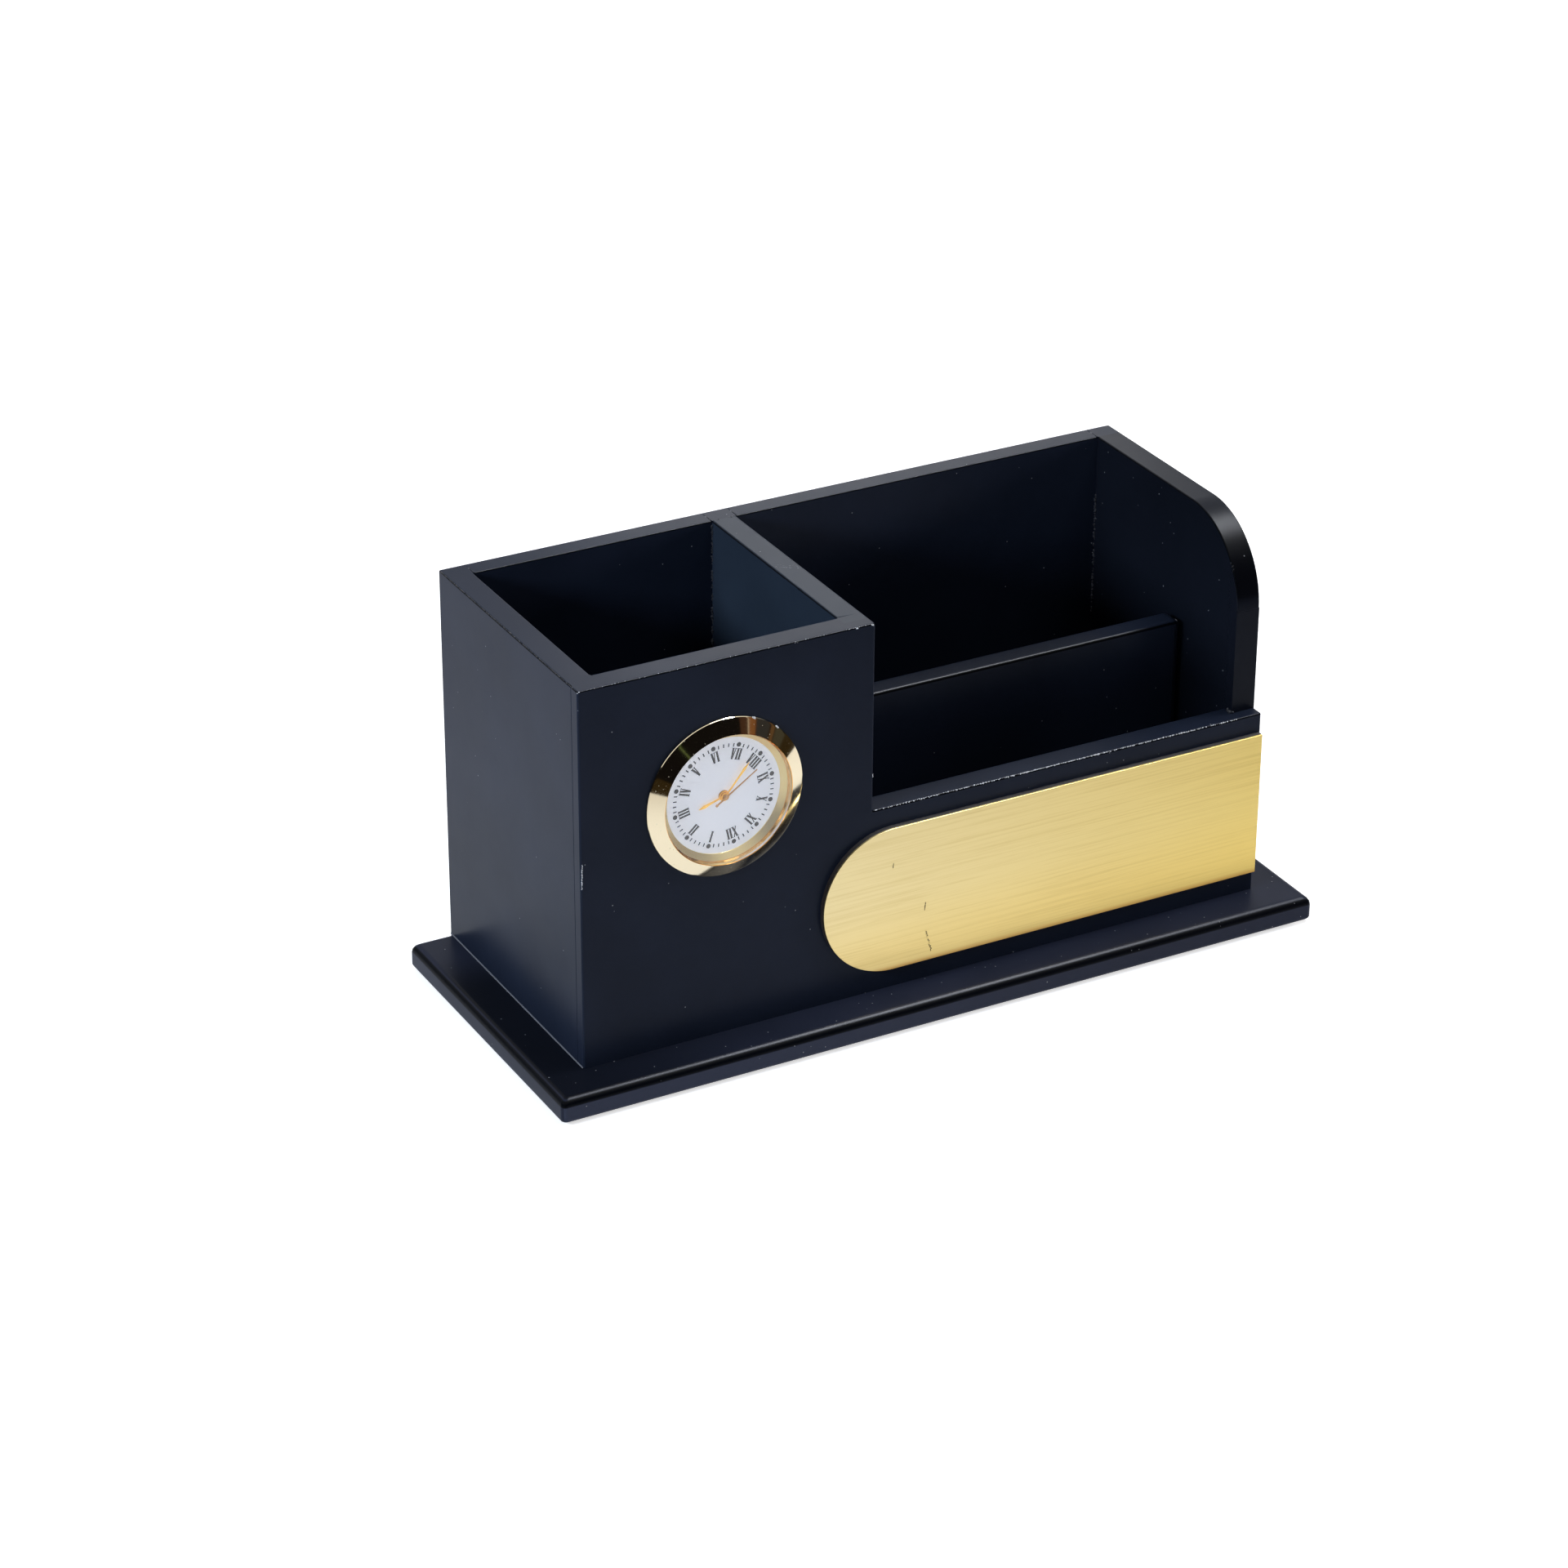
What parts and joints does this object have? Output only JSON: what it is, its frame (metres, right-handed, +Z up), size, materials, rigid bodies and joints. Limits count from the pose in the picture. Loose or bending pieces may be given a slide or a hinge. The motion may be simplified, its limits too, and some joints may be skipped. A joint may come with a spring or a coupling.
{
  "type": "pen holder clock",
  "caption": "Desk box of black lacquered boards with a pen bay, card slots, a bare gold plate and a small round quartz clock insert in the high front.",
  "frame": {"origin": "middle of the underside, in the plane that the felt rests on", "axes": "+X along the box towards the card slots, -Y out of the front with the clock and the plate, +Z up"},
  "size_m": [0.19, 0.0776, 0.0961],
  "materials": {
    "lacquer": "satin blue-black lacquer on fibreboard",
    "felt": "thin pressed felt",
    "backing": "black adhesive backing",
    "gold_plate": "finely brushed along its length",
    "polished_gold": "polished gold plating",
    "hand_gold": "polished",
    "hand_copper": "polished",
    "lens_glass": "clear",
    "dial_face": "printed card, matt",
    "steel": "plain",
    "brass": "plain",
    "copper_wire": "enamelled winding",
    "black_plastic": "moulded",
    "white_plastic": "moulded",
    "rubber": "moulded",
    "circuit": "green solder mask",
    "magnet": "sintered"
  },
  "bodies": {
    "case": {"base_board": "lacquer", "base_felt": "felt", "front_board": "lacquer", "back_board": "lacquer", "left_side": "lacquer", "right_side": "lacquer", "pen_divider": "lacquer", "slot_partition": "lacquer", "plate_backing": "backing", "name_plate": "gold_plate", "base_screw_1": "steel", "base_screw_2": "steel", "base_screw_3": "steel", "base_screw_4": "steel"},
    "grip": {"grip_band": "rubber"},
    "insert": {"bezel": "polished_gold", "lens": "lens_glass", "dial_ring": "polished_gold", "dial": "dial_face", "clock_cup": "black_plastic", "front_plate": "white_plastic", "back_plate": "white_plastic", "stator": "steel", "coil": "copper_wire", "coil_core": "steel", "circuit_board": "circuit", "quartz_crystal": "steel", "timing_chip": "black_plastic", "cap_contact": "brass", "wall_contact": "brass", "plate_screw_1": "steel", "plate_screw_2": "steel", "plate_screw_3": "steel", "button_cell": "steel"},
    "cell_cover": {"battery_cover": "black_plastic"},
    "seconds": {"second_hand": "hand_copper", "second_wheel": "brass"},
    "minutes": {"minute_hand": "hand_gold", "centre_wheel": "brass"},
    "hours": {"hour_hand": "hand_gold", "hour_wheel": "brass"},
    "motion": {"minute_wheel": "white_plastic"},
    "third": {"third_wheel": "white_plastic"},
    "step": {"step_wheel": "white_plastic"},
    "magnet": {"rotor": "magnet"},
    "setter": {"setting_knob": "black_plastic"}
  },
  "joints": [
    {"name": "insert_slide", "type": "slide", "parent": "case", "child": "grip", "axis": [0, -1, 0], "range_m": [0, 0.012]},
    {"name": "insert_turn", "type": "hinge", "parent": "grip", "child": "insert", "pos_m": [-0.0511, -0.02875, 0.0639], "axis": [0, 1, 0], "continuous": true},
    {"name": "cover_turn", "type": "hinge", "parent": "insert", "child": "cell_cover", "pos_m": [-0.0511, -0.02875, 0.07405], "axis": [0, 1, 0], "range_deg": [0, 90]},
    {"name": "second_turn", "type": "hinge", "parent": "insert", "child": "seconds", "pos_m": [-0.0511, -0.02875, 0.0639], "axis": [0, 1, 0], "continuous": true},
    {"name": "minute_turn", "type": "hinge", "parent": "insert", "child": "minutes", "pos_m": [-0.0511, -0.02875, 0.0639], "axis": [0, 1, 0], "continuous": true},
    {"name": "hour_turn", "type": "hinge", "parent": "insert", "child": "hours", "pos_m": [-0.0511, -0.02875, 0.0639], "axis": [0, 1, 0], "continuous": true},
    {"name": "motion_turn", "type": "hinge", "parent": "insert", "child": "motion", "pos_m": [-0.05628, -0.02875, 0.06529], "axis": [0, 1, 0], "continuous": true},
    {"name": "third_turn", "type": "hinge", "parent": "insert", "child": "third", "pos_m": [-0.04572, -0.02875, 0.06079], "axis": [0, 1, 0], "continuous": true},
    {"name": "step_turn", "type": "hinge", "parent": "insert", "child": "step", "pos_m": [-0.05635, -0.02875, 0.06022], "axis": [0, 1, 0], "continuous": true},
    {"name": "rotor_turn", "type": "hinge", "parent": "insert", "child": "magnet", "pos_m": [-0.0572, -0.02875, 0.05704], "axis": [0, 1, 0], "continuous": true},
    {"name": "knob_turn", "type": "hinge", "parent": "insert", "child": "setter", "pos_m": [-0.06044, -0.02875, 0.06866], "axis": [0, 1, 0], "continuous": true}
  ],
  "couplings": [
    {"joint": "minute_turn", "follows": "second_turn", "ratio": 0.016667},
    {"joint": "hour_turn", "follows": "second_turn", "ratio": 0.0013889},
    {"joint": "motion_turn", "follows": "second_turn", "ratio": -0.0055556},
    {"joint": "third_turn", "follows": "second_turn", "ratio": -0.125},
    {"joint": "step_turn", "follows": "second_turn", "ratio": -6},
    {"joint": "rotor_turn", "follows": "second_turn", "ratio": 30},
    {"joint": "knob_turn", "follows": "second_turn", "ratio": 0.016667}
  ]
}
